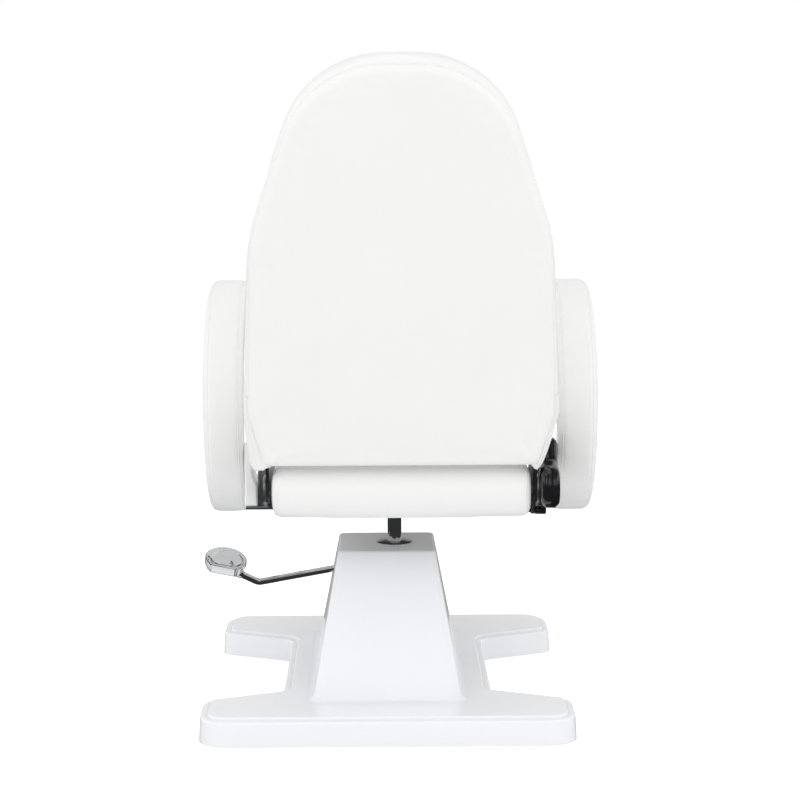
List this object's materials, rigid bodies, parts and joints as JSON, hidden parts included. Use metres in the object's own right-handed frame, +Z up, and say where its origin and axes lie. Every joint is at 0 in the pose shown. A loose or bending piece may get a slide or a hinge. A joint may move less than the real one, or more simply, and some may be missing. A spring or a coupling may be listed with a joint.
{
  "type": "hydraulic pedicure spa chair",
  "caption": "Padded pedicure chair with reclining back, leg rest, fold-up C armrests and a swivel seat on a foot-pumped lift over an H base.",
  "frame": {"origin": "on the floor, on the swivel axis, at the underside of the base's steel spine", "axes": "+Z up along the lift, +Y the way the chair faces, towards the leg rest, +X to the right of someone behind the chair"},
  "size_m": [0.7721, 1.1316, 1.2682],
  "materials": {
    "white_vinyl": "semi-matt white upholstery vinyl with a fine grain, over foam",
    "white_abs": "vacuum-formed cool white ABS, semi-gloss",
    "chrome": "bright chrome plate",
    "grey_steel": "zinc-grey steel",
    "black_painted_steel": "black stoved paint",
    "black_gloss_plastic": "glossy black moulding",
    "black_rubber": "matt black rubber",
    "bronze": "plain bearing bronze",
    "white_board": "white melamine-faced board"
  },
  "bodies": {
    "base": {"base_cover": "white_abs", "base_foot_rear": "grey_steel", "base_foot_front": "grey_steel", "base_spine": "grey_steel", "flange_bolt_1": "grey_steel", "flange_bolt_2": "grey_steel", "flange_bolt_3": "grey_steel", "flange_bolt_4": "grey_steel", "pump_reservoir": "black_painted_steel", "pump_tube": "grey_steel", "rod_gland": "black_rubber", "pedal_bracket": "black_painted_steel", "pedal_pin": "grey_steel", "pump_barrel": "grey_steel"},
    "pedal": {"pedal_lever": "chrome", "pedal_pad": "chrome"},
    "plunger": {"pump_plunger": "grey_steel", "plunger_spring": "grey_steel"},
    "lift": {"lift_rod": "chrome", "lift_piston": "black_rubber"},
    "seat": {"swivel_socket": "black_painted_steel", "swivel_bush": "bronze", "seat_cushion": "white_vinyl", "seat_board": "white_board", "rear_cross_bar": "grey_steel", "front_cross_bar": "grey_steel", "hub_plate": "grey_steel", "seat_rail_left": "black_painted_steel", "seat_rail_right": "black_painted_steel", "back_hinge_plate_left": "grey_steel", "back_hinge_plate_right": "grey_steel", "leg_hinge_plate_left": "grey_steel", "leg_hinge_plate_right": "grey_steel", "back_hinge_pin_left": "grey_steel", "back_hinge_pin_right": "grey_steel", "leg_hinge_pin_left": "grey_steel", "leg_hinge_pin_right": "grey_steel", "hinge_cap_right": "black_gloss_plastic", "arm_root_left": "white_vinyl", "arm_root_right": "white_vinyl", "release_hanger": "grey_steel"},
    "release": {"release_shaft": "black_painted_steel", "release_lever": "black_gloss_plastic"},
    "backrest": {"back_cushion": "white_vinyl", "back_panel": "white_vinyl", "back_arm_left": "black_painted_steel", "back_arm_right": "black_painted_steel"},
    "leg_rest": {"leg_cushion": "white_vinyl", "leg_board": "white_board", "leg_arm_left": "black_painted_steel", "leg_arm_right": "black_painted_steel", "leg_cross_bar": "black_painted_steel"},
    "armrest_left": {"arm_pad_left": "white_vinyl", "arm_core_left": "white_board", "arm_stub_left": "grey_steel"},
    "armrest_right": {"arm_pad_right": "white_vinyl", "arm_core_right": "white_board", "arm_stub_right": "grey_steel"}
  },
  "joints": [
    {"name": "lift_slide", "type": "slide", "parent": "base", "child": "lift", "axis": [0, 0, 1], "range_m": [0, 0.15]},
    {"name": "seat_swivel", "type": "hinge", "parent": "lift", "child": "seat", "pos_m": [0, 0, 0.38], "axis": [0, 0, 1], "continuous": true},
    {"name": "back_recline", "type": "hinge", "parent": "seat", "child": "backrest", "pos_m": [0.012, -0.225, 0.449], "axis": [1, 0, 0], "range_deg": [0, 76]},
    {"name": "leg_rest_tilt", "type": "hinge", "parent": "seat", "child": "leg_rest", "pos_m": [0.012, 0.236, 0.449], "axis": [1, 0, 0], "range_deg": [-15, 15]},
    {"name": "arm_left_swing", "type": "hinge", "parent": "seat", "child": "armrest_left", "pos_m": [0.012, -0.095, 0.478], "axis": [1, 0, 0], "range_deg": [0, 90]},
    {"name": "arm_right_swing", "type": "hinge", "parent": "seat", "child": "armrest_right", "pos_m": [0.012, -0.095, 0.478], "axis": [1, 0, 0], "range_deg": [0, 90]},
    {"name": "pedal_press", "type": "hinge", "parent": "base", "child": "pedal", "pos_m": [-0.058, 0, 0.262], "axis": [0, -1, 0], "range_deg": [0, 22], "stiffness_Nm_per_rad": 20, "springref_deg": -20.05},
    {"name": "plunger_slide", "type": "slide", "parent": "base", "child": "plunger", "axis": [0, 0, -1], "range_m": [0, 0.016], "deforming": ["plunger_spring"]},
    {"name": "release_press", "type": "hinge", "parent": "seat", "child": "release", "pos_m": [0.012, -0.175, 0.399], "axis": [-1, 0, 0], "range_deg": [0, 18], "stiffness_Nm_per_rad": 1.5, "springref_deg": -20.05}
  ],
  "couplings": [
    {"joint": "plunger_slide", "follows": "pedal_press", "m_per_rad": 0.0405}
  ]
}
